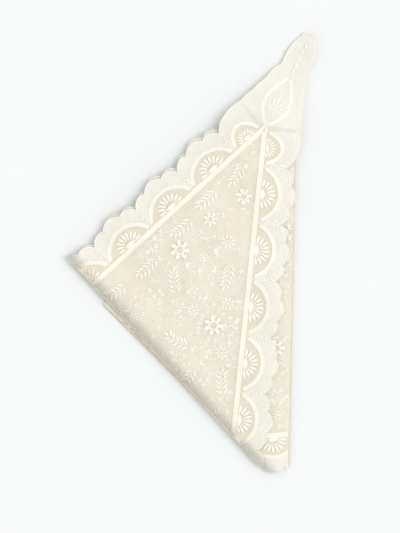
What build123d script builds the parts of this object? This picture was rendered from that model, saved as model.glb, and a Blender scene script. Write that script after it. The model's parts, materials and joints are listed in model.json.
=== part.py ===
from build123d import *
import os
from cmath import phase, rect
from math import degrees, radians

# A triangular lace veil, folded in half and then with its doubled corner turned over, lying flat.
# It is drawn once as it lies open, face down, with its long edge from the front corner to the far
# corner. Each leaf is then turned about its folds and laid at its height in the stack.
# Millimetres, +Z up, the origin under the middle of the folded packet.

# The net, from seam to seam
base_angle = 41.7           # degrees at both ends of the long edge
short_edge = 558.0
net_thickness = 0.5

# The lace edging sewn along every edge of the net
edging_width = 49.0         # seam to the top of the tallest scallop
deep_notch = 15.0           # from the tallest scallop's top back to the notch between two repeats
shallow_notch = 7.5         # and back to the notches within a repeat
side_lobe_step = 6.0        # and back to the tops of the low scallops
tail_notch = 2.0            # and back to the notches past an edge's end, on the mitred corner
repeat_length = 73.0        # wanted length of one repeat, fitted to a whole number along an edge
first_valley = 50.0         # from an end of the long edge to the first valley
back_corner_radius = 44.0   # the edging is rounded off behind the back corner
lace_thickness = 0.5        # how far tape, cords and embroidery stand off the net

# What is worked on the edging
tape_width = 7.0
fan_core_radius = 8.0
fan_radius = 19.5
fan_petals = 9
petal_width = 4.6
foot_clearance = 2.0        # from the tape to an arch's feet
fan_clearance = 2.5         # from a fan's petals to the arch over it
arch_band = 5.5
arch_gap = 0.4              # between the feet of two arches
eyelet_radius = 4.5
eyelet_hole_radius = 2.2
eyelet_clearance = 1.1      # between the two eyelets at a valley, and from the outer one to the rim's cord
rim_cord = 1.8

# The embroidery on the net. A place is a share of the way from the front corner to the veil's middle,
# and a share of the way from the long edge up to the side edge there. The veil is the same on both
# sides of its middle, so each stands once more, mirrored.
ring_radius = 10.0
ring_petal_radius = 4.0
ring_petals = 7
ring_hole_radius = 3.8
ring_places = [(0.221, 0.22), (0.406, 0.618), (0.302, 0.517), (0.629, 0.171), (0.72, 0.643), (0.84, 0.84),
               (0.893, 0.338), (0.955, 0.564)]
daisy_radius = 8.5
daisy_petals = 8
daisy_places = [(0.365, 0.236), (0.422, 0.395), (0.59, 0.31), (0.71, 0.099), (0.631, 0.615), (0.792, 0.697),
                (0.828, 0.488), (0.926, 0.471), (0.931, 0.717), (0.893, 0.078), (0.557, 0.116)]
# A spray: the middle of its stem, the way the stem points in degrees, and how it bends, in mm.
leaf_length = 13.0
leaf_width = 4.6
leaf_spacing = 10.5         # along a stem, from one pair of leaves to the next
leaf_stand = 1.6            # from a stem's edge to the foot of a leaf
leaf_splay = 38             # degrees between a leaf and its stem
stem_width = 1.4
spray_pairs = 2
spray_places = [((0.149, 0.507), 24, 60), ((0.24, 0.718), 42, 70), ((0.336, 0.738), 45, 60),
                ((0.47, 0.756), 40, 70), ((0.509, 0.508), 165, 60), ((0.47, 0.16), 8, 80),
                ((0.557, 0.822), 55, 70), ((0.691, 0.327), 112, 60), ((0.802, 0.222), 25, 70),
                ((0.73, 0.458), 70, 80), ((0.806, 0.073), 172, 70), ((0.696, 0.844), 42, 70),
                ((0.869, 0.905), 50, 80), ((0.883, 0.677), 96, 70), ((0.946, 0.188), 84, 80)]

# The folds, as measured along the open veil's edges from its front corner
front_fold_on_base = 402.0
front_fold_on_side = 302.0
half_fold_on_base = 475.0
half_fold_angle = 87.3      # degrees from the long edge
under_fold_on_base = 553.0
under_fold_angle = 41.2     # degrees from the long edge
fold_setback = 0.4          # net and edging stop this far short of a fold line
lace_setback = 1.6          # and what stands on them this far
lay_angle = 1.5             # how the back half's long edge lies to +X, in degrees

# The stack, from the bottom up
flat_gap = 1.5              # clear height between two leaves
front_gap = 2.5             # the front corner lies looser
turn_width = 1.2            # the cloth's turned edge along a fold
crumb = 1.0                 # cubic mm: what a cut leaves smaller than this is dropped

os.makedirs("parts", exist_ok=True)

notch_depth, shoulder_depth = edging_width - deep_notch, edging_width - shallow_notch
side_lobe_depth, tail_notch_depth = edging_width - side_lobe_step, edging_width - tail_notch
arch_foot = tape_width / 2 + foot_clearance
arch_height = tape_width / 2 + fan_radius + fan_clearance + arch_band
outer_eyelet = notch_depth - rim_cord - eyelet_clearance - eyelet_radius
eyelet_depths = (outer_eyelet - 2 * eyelet_radius - eyelet_clearance, outer_eyelet)
leaf_thickness = net_thickness + lace_thickness
net_level = lace_thickness  # the veil is drawn face down, so the lace is under the net
front = 0j
back = rect(short_edge, radians(base_angle))
far = complex(2 * back.real, 0)
middle = (front + back + far) / 3
everywhere = [rect(8 * short_edge, radians(turn)) for turn in (45, 135, 225, 315)]


def unit(way):
    return way / abs(way)


def side_of(point, through, way):
    """How far a point lies to the left of a line."""
    return ((point - through) * way.conjugate()).imag


def crossing(point, way, other, other_way):
    """Where two lines meet."""
    return point + way * side_of(other, 0, other_way) / side_of(way, 0, other_way) - way * (
        side_of(point, 0, other_way) / side_of(way, 0, other_way)
    )


def clipped(points, through, way):
    """The part of a convex outline that lies left of a line."""
    kept = []
    for a, b in zip(points, points[1:] + points[:1]):
        a_in, b_in = (side_of(p, through, way) >= 0 for p in (a, b))
        if a_in:
            kept.append(a)
        if a_in != b_in:
            kept.append(crossing(a, unit(b - a), through, way))
    return kept


def vec(point, height=0.0):
    return Vector(point.real, point.imag, height)


def raised(face, thickness):
    return extrude(face, amount=thickness, dir=(0, 0, 1))


def plate(points, bottom, thickness):
    """A flat plate with a straight-sided outline."""
    return raised(Face(Wire.make_polygon([vec(p, bottom) for p in points], close=True)), thickness)


def cut_to(shape, outline):
    """The part of a thin shape inside a straight-sided outline."""
    return shape & plate(outline, -leaf_thickness, 3 * leaf_thickness)


# Each fold: a point on it and its way, drawn so that the leaf nearer the front corner is on its left
front_fold = (complex(front_fold_on_base, 0), unit(rect(front_fold_on_side, phase(back)) - front_fold_on_base))
half_fold = (complex(half_fold_on_base, 0), rect(1, radians(half_fold_angle)))
under_fold = (complex(under_fold_on_base, 0), rect(1, radians(under_fold_angle)))

# A leaf: the fold on its far side, the fold on its near side, and the folds it is turned about
leaves = {
    "under_corner": (None, under_fold, [under_fold, half_fold]),
    "under_half": (under_fold, half_fold, [half_fold]),
    "back_half": (half_fold, front_fold, []),
    "front_corner": (front_fold, None, [front_fold]),
}
heights = {
    "under_corner": 0.0,
    "under_half": leaf_thickness + flat_gap,
    "back_half": 2 * (leaf_thickness + flat_gap),
    "front_corner": 3 * leaf_thickness + 2 * flat_gap + front_gap,
}


def within(points, leaf, setback):
    """The part of a convex outline that lies on one leaf, stopping short of its folds."""
    far_fold, near_fold, _ = leaves[leaf]
    if far_fold:
        point, way = far_fold
        points = clipped(points, point + 1j * way * setback, way)
    if near_fold:
        point, way = near_fold
        points = clipped(points, point - 1j * way * setback, -way)
    return points


def laid(shape, leaf):
    """A shape drawn on the open veil, turned about its leaf's folds and laid at its leaf's height."""
    for point, way in leaves[leaf][2]:
        shape = shape.rotate(Axis(vec(point, leaf_thickness / 2), vec(way)), 180)
    return shape.rotate(Axis.Z, lay_angle).moved(Location((0, 0, heights[leaf])))


class NetEdge:
    """One edge of the net, with the lace outside it. A repeat of the lace runs from valley to valley."""

    def __init__(self, start, end, lead_in, lead_out):
        self.start, self.end, self.lead_in = start, end, lead_in
        self.way = unit(end - start)
        self.out = -1j * self.way if side_of(middle, start, self.way) > 0 else 1j * self.way
        self.length = abs(end - start)
        self.count = max(1, round((self.length - lead_in - lead_out) / repeat_length))
        self.pitch = (self.length - lead_in - lead_out) / self.count

    def at(self, along, depth):
        return self.start + self.way * along + self.out * depth

    def valleys(self):
        """Places along the edge, with enough past both ends for the mitred corners."""
        spare = 1 + int(mitre_reach / self.pitch)
        return [self.lead_in + self.pitch * k for k in range(-spare - 1, self.count + spare + 1)]

    def past_end(self, along):
        return along < 0 or along > self.length


def mitre(corner, depth):
    """The outer corner of a border this deep round the net."""
    to_one, to_other = (unit(c - corner) for c in (front, back, far) if c != corner)
    half = unit(to_one + to_other)
    return corner - half * depth / abs(side_of(half, 0, to_one))


mitre_reach = abs(mitre(front, edging_width))
edges = {
    "long": NetEdge(front, far, first_valley, first_valley),
    "side": NetEdge(front, back, first_valley, 0.0),
    "rear": NetEdge(far, back, first_valley, 0.0),
}


def border(edge, inner, outer):
    """The straight strip between two depths along an edge, mitred at both ends."""
    ends = ((edge.start, inner), (edge.end, inner), (edge.end, outer), (edge.start, outer))
    points = [mitre(corner, depth) for corner, depth in ends]
    return points if side_of(points[3], points[0], edge.way) > 0 else points[::-1]


def arc(edge, first, over, last):
    """An arc through three places, each given along an edge and out from it."""
    return Edge.make_three_point_arc(*(vec(edge.at(*place)) for place in (first, over, last)))


def straight(edge, first, last):
    return Edge.make_line(*(vec(edge.at(*place)) for place in (first, last)))


def scallops(edge, inset):
    """The lobed outline of the edging: in each repeat a tall lobe between two low ones."""
    found = []
    valleys = edge.valleys()
    notches = [tail_notch_depth if edge.past_end(v) else notch_depth for v in valleys]
    for valley, notch, next_notch in zip(valleys, notches, notches[1:]):
        def rim(share, depth):
            return valley + share * edge.pitch, depth - inset

        shoulder = max(shoulder_depth, notch, next_notch)
        first, last = (max(side_lobe_depth, (n + edging_width) / 2) for n in (notch, next_notch))
        found.append(arc(edge, rim(0, notch), rim(0.14, first), rim(0.3, shoulder)))
        found.append(arc(edge, rim(0.3, shoulder), rim(0.5, edging_width), rim(0.7, shoulder)))
        found.append(arc(edge, rim(0.7, shoulder), rim(0.86, last), rim(1, next_notch)))
    return found


def lobed_strip(edge, inner, inset, thickness):
    """The lace from one depth out to its lobed rim, along the whole edge and past both ends."""
    valleys = edge.valleys()
    rim = tail_notch_depth - inset
    sides = [
        straight(edge, (valleys[-1], rim), (valleys[-1], inner)),
        straight(edge, (valleys[-1], inner), (valleys[0], inner)),
        straight(edge, (valleys[0], inner), (valleys[0], rim)),
    ]
    return raised(Face(Wire(scallops(edge, inset) + sides)), thickness)


def rim_strip(edge):
    """The cord along the lobed rim."""
    valleys = edge.valleys()
    depths = (tail_notch_depth, tail_notch_depth - rim_cord)
    ends = [straight(edge, *((valley, depth) for depth in depths)) for valley in (valleys[0], valleys[-1])]
    return raised(Face(Wire(scallops(edge, 0.0) + scallops(edge, rim_cord) + ends)), lace_thickness)


def rounded_corner():
    """What the rounding behind the back corner takes off the edging."""
    outs = [edges[name].out for name in ("side", "rear")]
    reach = 2 * edging_width
    kite = [back, back + outs[1] * reach, mitre(back, reach), back + outs[0] * reach]
    disc = Cylinder(back_corner_radius, 6 * leaf_thickness).moved(Location(vec(back)))
    return plate(kite, -leaf_thickness, 3 * leaf_thickness) - disc


def arch(edge, valley):
    """The cord from one valley to the next, over a fan."""
    start, end = valley + arch_gap / 2, valley + edge.pitch - arch_gap / 2
    inner_start, inner_end = start + arch_band, end - arch_band
    crown = (start + end) / 2
    bounds = [
        arc(edge, (start, arch_foot), (crown, arch_height), (end, arch_foot)),
        straight(edge, (end, arch_foot), (inner_end, arch_foot)),
        arc(edge, (inner_end, arch_foot), (crown, arch_height - arch_band), (inner_start, arch_foot)),
        straight(edge, (inner_start, arch_foot), (start, arch_foot)),
    ]
    return raised(Face(Wire(bounds)), lace_thickness)


# The motifs, each drawn once round the origin
def fan():
    """A half-round core with tapering petals, opening along +Y from its foot."""
    petal_length = fan_radius - fan_core_radius + petal_width / 2
    petal = Pos(fan_radius - petal_length / 2, 0) * Ellipse(petal_length / 2, petal_width / 2)
    petals = [Rot(0, 0, 180 * (k + 0.5) / fan_petals) * petal for k in range(fan_petals)]
    shape = Circle(fan_core_radius) + petals
    return raised(shape & Pos(0, fan_radius) * Rectangle(4 * fan_radius, 2 * fan_radius), lace_thickness)


def ring_flower():
    petal = Pos(ring_radius - ring_petal_radius, 0) * Circle(ring_petal_radius)
    petals = [Rot(0, 0, 360 * k / ring_petals) * petal for k in range(ring_petals)]
    return raised(Circle(ring_radius - ring_petal_radius) + petals - Circle(ring_hole_radius), lace_thickness)


def daisy():
    petal = Pos(daisy_radius * 0.6, 0) * Ellipse(daisy_radius * 0.4, daisy_radius * 0.2)
    petals = [Rot(0, 0, 360 * k / daisy_petals) * petal for k in range(daisy_petals)]
    return raised(Circle(daisy_radius / 3) + petals, lace_thickness)


def eyelet():
    return raised(Circle(eyelet_radius) - Circle(eyelet_hole_radius), lace_thickness)


def lens(length, width):
    """A pointed leaf along +X from the origin."""
    tip = (length, 0, 0)
    upper = Edge.make_three_point_arc((0, 0, 0), (length / 2, width / 2, 0), tip)
    lower = Edge.make_three_point_arc(tip, (length / 2, -width / 2, 0), (0, 0, 0))
    return raised(Face(Wire([upper, lower])), lace_thickness)


def placed(shape, point, turn=0.0):
    return shape.moved(Location((point.real, point.imag, 0), (0, 0, turn)))


def spray(bend):
    """(solid, middle, reach) for a bent stem through the origin along +X, its pairs of leaves and its tip."""
    half_length = leaf_spacing * spray_pairs / 2 + leaf_length / 3
    swing = half_length / bend

    def beside(share, offset):
        return 1j * bend + rect(bend - offset, swing * share - radians(90))

    upper = Edge.make_three_point_arc(*(vec(beside(share, stem_width / 2)) for share in (-1, 0, 1)))
    lower = Edge.make_three_point_arc(*(vec(beside(share, -stem_width / 2)) for share in (1, 0, -1)))
    ends = [Edge.make_line(upper @ 1, lower @ 0), Edge.make_line(lower @ 1, upper @ 0)]
    pieces = [(raised(Face(Wire([upper, ends[0], lower, ends[1]])), lace_thickness), 0j, half_length)]
    leaf = lens(leaf_length, leaf_width)
    feet = [(-0.9 + k * leaf_spacing / half_length, side, side * leaf_splay)
            for k in range(spray_pairs) for side in (1, -1)]
    for share, side, splay in feet:
        foot = beside(share, side * (stem_width / 2 + leaf_stand))
        heading = degrees(swing * share) + splay
        leaf_middle = foot + rect(leaf_length / 2, radians(heading))
        pieces.append((placed(leaf, foot, heading), leaf_middle, leaf_length / 2))
    tip = beside(1, 0) + rect(stem_width / 2, swing)
    pieces.append((placed(leaf, tip, degrees(swing)), tip + rect(leaf_length / 2, swing), leaf_length / 2))
    return pieces


parts = {}


def add(node, leaf, shapes):
    """Lays shapes on a leaf and keeps their solids, without crumbs, as a node."""
    found = [laid(solid, leaf) for shape in shapes for solid in shape.solids() if solid.volume > crumb]
    if found:
        parts.setdefault(node, []).extend(found)


def fitted(shape, centre, reach, outline):
    """A motif whole if it lies inside an outline, cut if it crosses it, and nothing outside."""
    depth = min(side_of(centre, a, unit(b - a)) for a, b in zip(outline, outline[1:] + outline[:1]))
    if depth >= reach:
        return [shape]
    return [cut_to(shape, outline)] if depth > -reach else []


fan_shape, ring_shape, daisy_shape, eyelet_shape = fan(), ring_flower(), daisy(), eyelet()
off_corner = rounded_corner()
strips = {name: lobed_strip(edge, 0.0, 0.0, net_thickness) - off_corner for name, edge in edges.items()}
rims = {name: rim_strip(edge) - off_corner for name, edge in edges.items()}


def edge_lace(leaf, name, edge):
    """The edging along one edge of one leaf, and everything worked on it."""
    ground = within(border(edge, 0, 2 * edging_width), leaf, fold_setback)
    outline = within(border(edge, tape_width / 2, 2 * edging_width), leaf, lace_setback)
    if len(outline) < 3:
        return
    edging = cut_to(strips[name].moved(Location((0, 0, net_level))), ground)
    add(f"{leaf}_{name}_edging", leaf, edging.solids().sort_by(lambda solid: solid.volume)[-1:])
    tape = within(border(edge, -tape_width / 2, tape_width / 2), leaf, lace_setback)
    add(f"{leaf}_{name}_tape", leaf, [plate(tape, 0.0, lace_thickness)])
    add(f"{leaf}_scallop_cords", leaf, [cut_to(rims[name], outline)])
    outward = degrees(phase(edge.out)) - 90
    for valley in edge.valleys()[:-1]:
        crown = edge.at(valley + edge.pitch / 2, arch_height / 2)
        foot = edge.at(valley + edge.pitch / 2, tape_width / 2)
        add(f"{leaf}_arches", leaf, fitted(arch(edge, valley), crown, edge.pitch * 0.6, outline))
        add(f"{leaf}_fans", leaf, fitted(placed(fan_shape, foot, outward), foot, fan_radius, outline))
        for depth in eyelet_depths:
            place = edge.at(valley, depth)
            add(f"{leaf}_eyelets", leaf, fitted(placed(eyelet_shape, place), place, eyelet_radius, outline))


def on_net(place):
    """The point at a place of the embroidery."""
    share, rise = place
    return complex(share * back.real, share * rise * back.imag)


def mirrored(point):
    return complex(far.real - point.real, point.imag)


def embroidery(leaf):
    """The flowers and sprays on one leaf's net, each at its place and at its mirror place."""
    outline = within(everywhere, leaf, lace_setback)
    for places, shape, reach, kind in (
        (ring_places, ring_shape, ring_radius, "ring_flowers"),
        (daisy_places, daisy_shape, daisy_radius, "daisies"),
    ):
        for place in places:
            for point in (on_net(place), mirrored(on_net(place))):
                add(f"{leaf}_{kind}", leaf, fitted(placed(shape, point), point, reach, outline))
    for place, turn, bend in spray_places:
        for piece, centre, reach in spray(bend):
            one = placed(piece, on_net(place), turn)
            spot = on_net(place) + centre * rect(1, radians(turn))
            other = mirror(one, about=Plane.YZ).moved(Location((far.real, 0, 0)))
            add(f"{leaf}_leaf_sprays", leaf, fitted(one, spot, reach, outline))
            add(f"{leaf}_leaf_sprays", leaf, fitted(other, mirrored(spot), reach, outline))


def turned_edge(fold, gap, lace_side):
    """The cloth's turned edge, a ridge along a leaf's fold that reaches up to the fold's axis."""
    point, way = fold
    inward = -1j * way
    depth = notch_depth - rim_cord
    whole = [mitre(corner, depth) for corner in (front, far, back)]
    strip = [point + way * end for end in (-2 * short_edge, 2 * short_edge)]
    strip = [strip[0] + inward * turn_width, strip[1] + inward * turn_width, strip[1], strip[0]]
    for a, b in zip(whole, whole[1:] + whole[:1]):
        strip = clipped(strip, a, unit(b - a))
    if lace_side:
        return plate(strip, -gap / 2, gap / 2 + net_level)
    return plate(strip, leaf_thickness, gap / 2)


for leaf in leaves:
    net_outline = within([front, far, back], leaf, fold_setback)
    add(f"{leaf}_net", leaf, [plate(net_outline, net_level, net_thickness)])
    for name, edge in edges.items():
        edge_lace(leaf, name, edge)
    embroidery(leaf)
add("under_fold_turn", "under_corner", [turned_edge(under_fold, flat_gap, False)])
add("half_fold_turn", "under_half", [turned_edge(half_fold, flat_gap, True)])
add("front_fold_turn", "back_half", [turned_edge(front_fold, front_gap, False)])

# The packet is centred on the origin, and each fold's axis is printed as it lies.
box = Compound([solid for group in parts.values() for solid in group]).bounding_box()
centre = Location((-(box.min.X + box.max.X) / 2, -(box.min.Y + box.max.Y) / 2, 0))
for node, group in parts.items():
    export_step(Compound([solid.moved(centre) for solid in group]), f"parts/{node}.step")
for name, fold, lower, gap in (
    ("under_corner_fold", under_fold, "under_corner", flat_gap),
    ("half_fold", half_fold, "under_half", flat_gap),
    ("front_corner_fold", front_fold, "back_half", front_gap),
):
    point, way = fold
    height = leaf_thickness + gap / 2 if lower != "under_half" else -gap / 2
    ends = [centre * Location(laid(Vertex(*vec(p, height)), lower).center()) for p in (point, point + way)]
    print(name, [tuple(round(x, 4) for x in end.position) for end in ends])
print(len(parts), "nodes,", sum(len(group) for group in parts.values()), "solids, box", box.size)
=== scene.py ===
import json
import math
import bmesh
import bpy
import numpy as np
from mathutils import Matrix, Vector


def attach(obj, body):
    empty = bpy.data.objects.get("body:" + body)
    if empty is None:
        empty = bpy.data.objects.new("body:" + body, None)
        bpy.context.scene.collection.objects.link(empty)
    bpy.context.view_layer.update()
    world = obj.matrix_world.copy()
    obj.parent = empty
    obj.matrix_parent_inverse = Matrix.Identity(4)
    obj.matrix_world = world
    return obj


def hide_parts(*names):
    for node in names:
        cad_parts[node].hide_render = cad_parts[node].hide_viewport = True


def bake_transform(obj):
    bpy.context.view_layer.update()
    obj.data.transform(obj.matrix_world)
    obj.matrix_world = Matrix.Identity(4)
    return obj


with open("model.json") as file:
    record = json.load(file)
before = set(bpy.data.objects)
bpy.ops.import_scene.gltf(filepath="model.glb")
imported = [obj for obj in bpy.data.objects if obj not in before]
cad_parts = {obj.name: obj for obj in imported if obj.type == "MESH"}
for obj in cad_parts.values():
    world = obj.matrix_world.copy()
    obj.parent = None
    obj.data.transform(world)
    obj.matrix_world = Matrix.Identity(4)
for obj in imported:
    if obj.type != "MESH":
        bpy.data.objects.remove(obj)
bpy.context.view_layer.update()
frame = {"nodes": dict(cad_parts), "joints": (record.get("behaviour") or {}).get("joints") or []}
mm = 0.001

# The veil is worked out as it lies open and face down, in metres. A flat place is a complex number:
# 0 is the front corner and the long edge runs along the real axis. Lift is the height over the cloth.
veil = {
    "baseAngle": 41.7,  # degrees
    "shortEdge": 558 * mm,
    "frontFoldOnBase": 402 * mm,
    "frontFoldOnSide": 302 * mm,
    "halfFoldOnBase": 475 * mm,
    "halfFoldAngle": 87.3,
    "underFoldOnBase": 553 * mm,
    "underFoldAngle": 41.2,
    "foldSetback": 0.4 * mm,
}


def unit(way):
    return way / np.abs(way)


def heading(degrees):
    return complex(math.cos(math.radians(degrees)), math.sin(math.radians(degrees)))


def smooth(low, high, value):
    # 0 before low, 1 after high, and 3t^2 - 2t^3 between them
    share = np.clip((value - low) / (high - low), 0, 1)
    return share * share * (3 - 2 * share)


def reach(flat, line):
    # how far places lie inside a line, given as a point on it and its inward way
    return ((flat - line[0]) * np.conj(line[1])).real


front = 0j
back = veil["shortEdge"] * heading(veil["baseAngle"])
far = complex(2 * back.real, 0)
netMiddle = (front + back + far) / 3
sideWay = unit(back)
folds = {
    "front_corner_fold": (complex(veil["frontFoldOnBase"], 0),
                          unit(sideWay * veil["frontFoldOnSide"] - veil["frontFoldOnBase"])),
    "half_fold": (complex(veil["halfFoldOnBase"], 0), heading(veil["halfFoldAngle"])),
    "under_corner_fold": (complex(veil["underFoldOnBase"], 0), heading(veil["underFoldAngle"])),
}

# How each leaf of the packet lies: its net's height, which side is up, how much of the swell it takes,
# the folds it is turned about, and the folds it ends at with the side of each that it is on.
leaves = {
    "under_corner": {"height": 0.75 * mm, "up": 1, "rise": 0.15, "turns": ["half_fold", "under_corner_fold"],
                     "ends": [("under_corner_fold", -1)]},
    "under_half": {"height": 2.75 * mm, "up": -1, "rise": 0.4, "turns": ["half_fold"],
                   "ends": [("under_corner_fold", 1), ("half_fold", -1)]},
    "back_half": {"height": 5.75 * mm, "up": 1, "rise": 0.7, "turns": [],
                  "ends": [("half_fold", 1), ("front_corner_fold", -1)]},
    "front_corner": {"height": 8.75 * mm, "up": -1, "rise": 1.0, "turns": ["front_corner_fold"],
                     "ends": [("front_corner_fold", 1)]},
}
joints = {joint["name"]: joint for joint in frame["joints"]}


def foldInPlace(name):
    # a fold as it lies in the packet, from its hinge
    place, axis = joints[name]["pos_m"], joints[name]["axis"]
    return complex(place[0], place[1]), unit(complex(axis[0], axis[1]))


placedFolds = {name: foldInPlace(name) for name in folds}
baseWay = unit(placedFolds["half_fold"][0] - placedFolds["front_corner_fold"][0])
frontInPlace = placedFolds["front_corner_fold"][0] - baseWay * veil["frontFoldOnBase"]

swell = {
    "height": 1.3 * mm,      # of the soft waves in the laid cloth
    "waves": [(0.62, 1.0, 188 * mm, 0.6), (1.0, -0.35, 231 * mm, 1.9), (0.9, 0.8, 97 * mm, 4.0)],
    "calm": 30 * mm,         # the waves die out this near to a fold
    "roll": 1.5 * mm,        # the cloth rolls up softly just inside the front fold
    "rollAt": 11 * mm,
    "rollWidth": 9 * mm,
    "tailDrop": 6.2 * mm,    # the free corner lies down beyond the cloth under it
    "tailFrom": 402 * mm,    # from the front fold's hinge towards the back corner
    "tailTo": 472 * mm,
}


def loft(x, y):
    # the sum of three sine waves, each lifted to stay above 0, faded out towards the folds,
    # and a bell-shaped roll along the front fold
    place = x + 1j * y
    waves = 0
    for alongX, alongY, length, phase in swell["waves"]:
        waves = waves + swell["height"] * (1 + np.sin(2 * np.pi * (alongX * x + alongY * y) / length + phase))
    away = [np.abs(((place - point) * np.conj(way)).imag) for point, way in placedFolds.values()]
    for distance in away:
        waves = waves * smooth(0, swell["calm"], distance)
    frontFold = away[list(placedFolds).index("front_corner_fold")]
    return waves + swell["roll"] * np.exp(-((frontFold - swell["rollAt"]) / swell["rollWidth"]) ** 2)


def laid(leaf, flat, lift):
    # a flat place reflected in each of its leaf's folds in turn, and raised to the leaf's height
    plan = leaves[leaf]
    place = frontInPlace + baseWay * flat
    for name in plan["turns"]:
        point, way = placedFolds[name]
        place = point + way * way * np.conj(place - point)
    x, y = place.real, place.imag
    height = plan["height"] + plan["rise"] * loft(x, y) + plan["up"] * lift
    if leaf == "front_corner":
        beyond = y - placedFolds["front_corner_fold"][0].imag
        height = height - swell["tailDrop"] * smooth(swell["tailFrom"], swell["tailTo"], beyond)
    return x, y, height


def leafLines(leaf, setback):
    # the folds that a leaf ends at, as lines with an inward way
    lines = []
    for name, side in leaves[leaf]["ends"]:
        point, way = folds[name]
        lines.append((point + side * 1j * way * setback, side * 1j * way))
    return lines


# The lace edging. A place on it is given along an edge of the net and out from it.
edging = {
    "topDepth": 49 * mm,        # from the seam to the top of the tall scallop in each repeat
    "notchDepth": 34 * mm,      # to the deep notch between two repeats
    "shoulderDepth": 41.5 * mm, # to the shallow notches beside the tall scallop
    "sideDepth": 43 * mm,       # to the tops of the low scallops
    "tailNotchDepth": 47 * mm,  # to the notches past an edge's end, on the mitred corner
    "repeat": 73 * mm,
    "firstValley": 50 * mm,
    "backRadius": 44 * mm,
    "tailFlare": 9 * mm,
    "tailEnd": 113 * mm,        # from the net's corner to the middle of the rounded end
    "tailRadius": 23 * mm,
    "archFoot": 5.5 * mm,
    "archHeight": 31 * mm,
    "archBand": 5.5 * mm,
    "archGap": 0.4 * mm,
}


def netEdge(start, end, leadOut):
    way = unit(end - start)
    out = 1j * way * (-1 if ((netMiddle - start) * np.conj(way)).imag > 0 else 1)
    length = abs(end - start)
    worked = length - edging["firstValley"] - leadOut
    count = round(worked / edging["repeat"])
    return {"start": start, "end": end, "way": way, "out": out, "length": length, "count": count,
            "pitch": worked / count}


edges = {
    "long": netEdge(front, far, edging["firstValley"]),
    "side": netEdge(front, back, 0),
    "rear": netEdge(far, back, 0),
}


def at(edge, along, depth):
    return edge["start"] + edge["way"] * along + edge["out"] * depth


def rimDepth(edge, along):
    # each repeat has three scallops, and each is a straight line between its notches plus a parabola
    place = (along - edging["firstValley"]) / edge["pitch"]
    share = place - np.floor(place + 1e-9)
    valley = edging["firstValley"] + edge["pitch"] * np.floor(place + 1e-9)

    def notch(where):
        past = (where < -1e-6) | (where > edge["length"] + 1e-6)
        return np.where(past, edging["tailNotchDepth"], edging["notchDepth"])

    first, last = notch(valley), notch(valley + edge["pitch"])
    lobe = np.digitize(share, [0.3, 0.7])
    low, high = np.array([0, 0.3, 0.7])[lobe], np.array([0.3, 0.7, 1])[lobe]
    shoulder = np.maximum(edging["shoulderDepth"], np.maximum(first, last))
    lowTops = [np.maximum(edging["sideDepth"], (depth + edging["topDepth"]) / 2) for depth in (first, last)]
    start, end = np.choose(lobe, [first, shoulder, shoulder]), np.choose(lobe, [shoulder, shoulder, last])
    top = np.choose(lobe, [lowTops[0], edging["topDepth"], lowTops[1]])
    part = (share - low) / (high - low)
    depth = start + (end - start) * part + 4 * part * (1 - part) * (top - (start + end) / 2)
    if edge["end"] == back:
        beyond = np.clip(along - edge["length"], 0, edging["backRadius"])
        rounded = np.sqrt(edging["backRadius"] ** 2 - beyond ** 2) + 1e-5
        depth = np.where(along > edge["length"], np.minimum(depth, rounded), depth)
    # the free corner widens to its end and is rounded off there by a circle on the mitre
    middle = edging["tailEnd"] * heading(veil["baseAngle"] / 2)
    for past in (-along,) if edge["end"] == back else (-along, along - edge["length"]):
        depth = depth + edging["tailFlare"] * smooth(70 * mm, 100 * mm, past)
        circle = np.sqrt(np.clip(edging["tailRadius"] ** 2 - (past - middle.real) ** 2, 1e-10, None))
        depth = np.where(past > middle.real, np.minimum(depth, middle.imag + circle), depth)
    return depth


def mitreLines(edge):
    lines = []
    for corner, other in ((edge["start"], edge["end"]), (edge["end"], edge["start"])):
        ways = [unit(c - corner) for c in (front, back, far) if c != corner]
        half = unit(ways[0] + ways[1])
        across = 1j * half * (1 if (1j * half * np.conj(other - corner)).real > 0 else -1)
        lines.append((corner, across))
    return lines


def steps(edge, perRepeat):
    # places along an edge and past both its ends, the same number in each repeat
    tail = math.ceil(edging["topDepth"] / math.tan(math.radians(veil["baseAngle"] / 2)) / edge["pitch"])
    first = -(tail + 1) * perRepeat
    last = (edge["count"] + tail + 1) * perRepeat
    return edging["firstValley"] + edge["pitch"] * np.arange(first, last + 1) / perRepeat


# Shapes. Each gives the flat places, lifts and UVs of a number of like shapes, and the faces of one.
def grid(flat, u, v):
    # a sheet through rows and columns of flat places
    rows, columns = flat.shape
    index = np.arange(rows * columns).reshape(rows, columns)
    quads = np.stack((index[:-1, :-1], index[:-1, 1:], index[1:, 1:], index[1:, :-1]), axis=-1).reshape(-1, 4)
    return flat.reshape(1, -1), np.zeros((1, rows * columns)), u.reshape(1, -1), v.reshape(1, -1), [quads]


def tubeFaces(rings, sides, closedRing):
    # faces between neighbouring rings of points, facing out where the rings turn from left to up
    index = np.arange(rings * sides).reshape(rings, sides)
    if closedRing:
        index = np.vstack((index, index[:1]))
    index = np.column_stack((index, index[:, :1]))
    return np.stack((index[:-1, :-1], index[:-1, 1:], index[1:, 1:], index[1:, :-1]), axis=-1).reshape(-1, 4)


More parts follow.
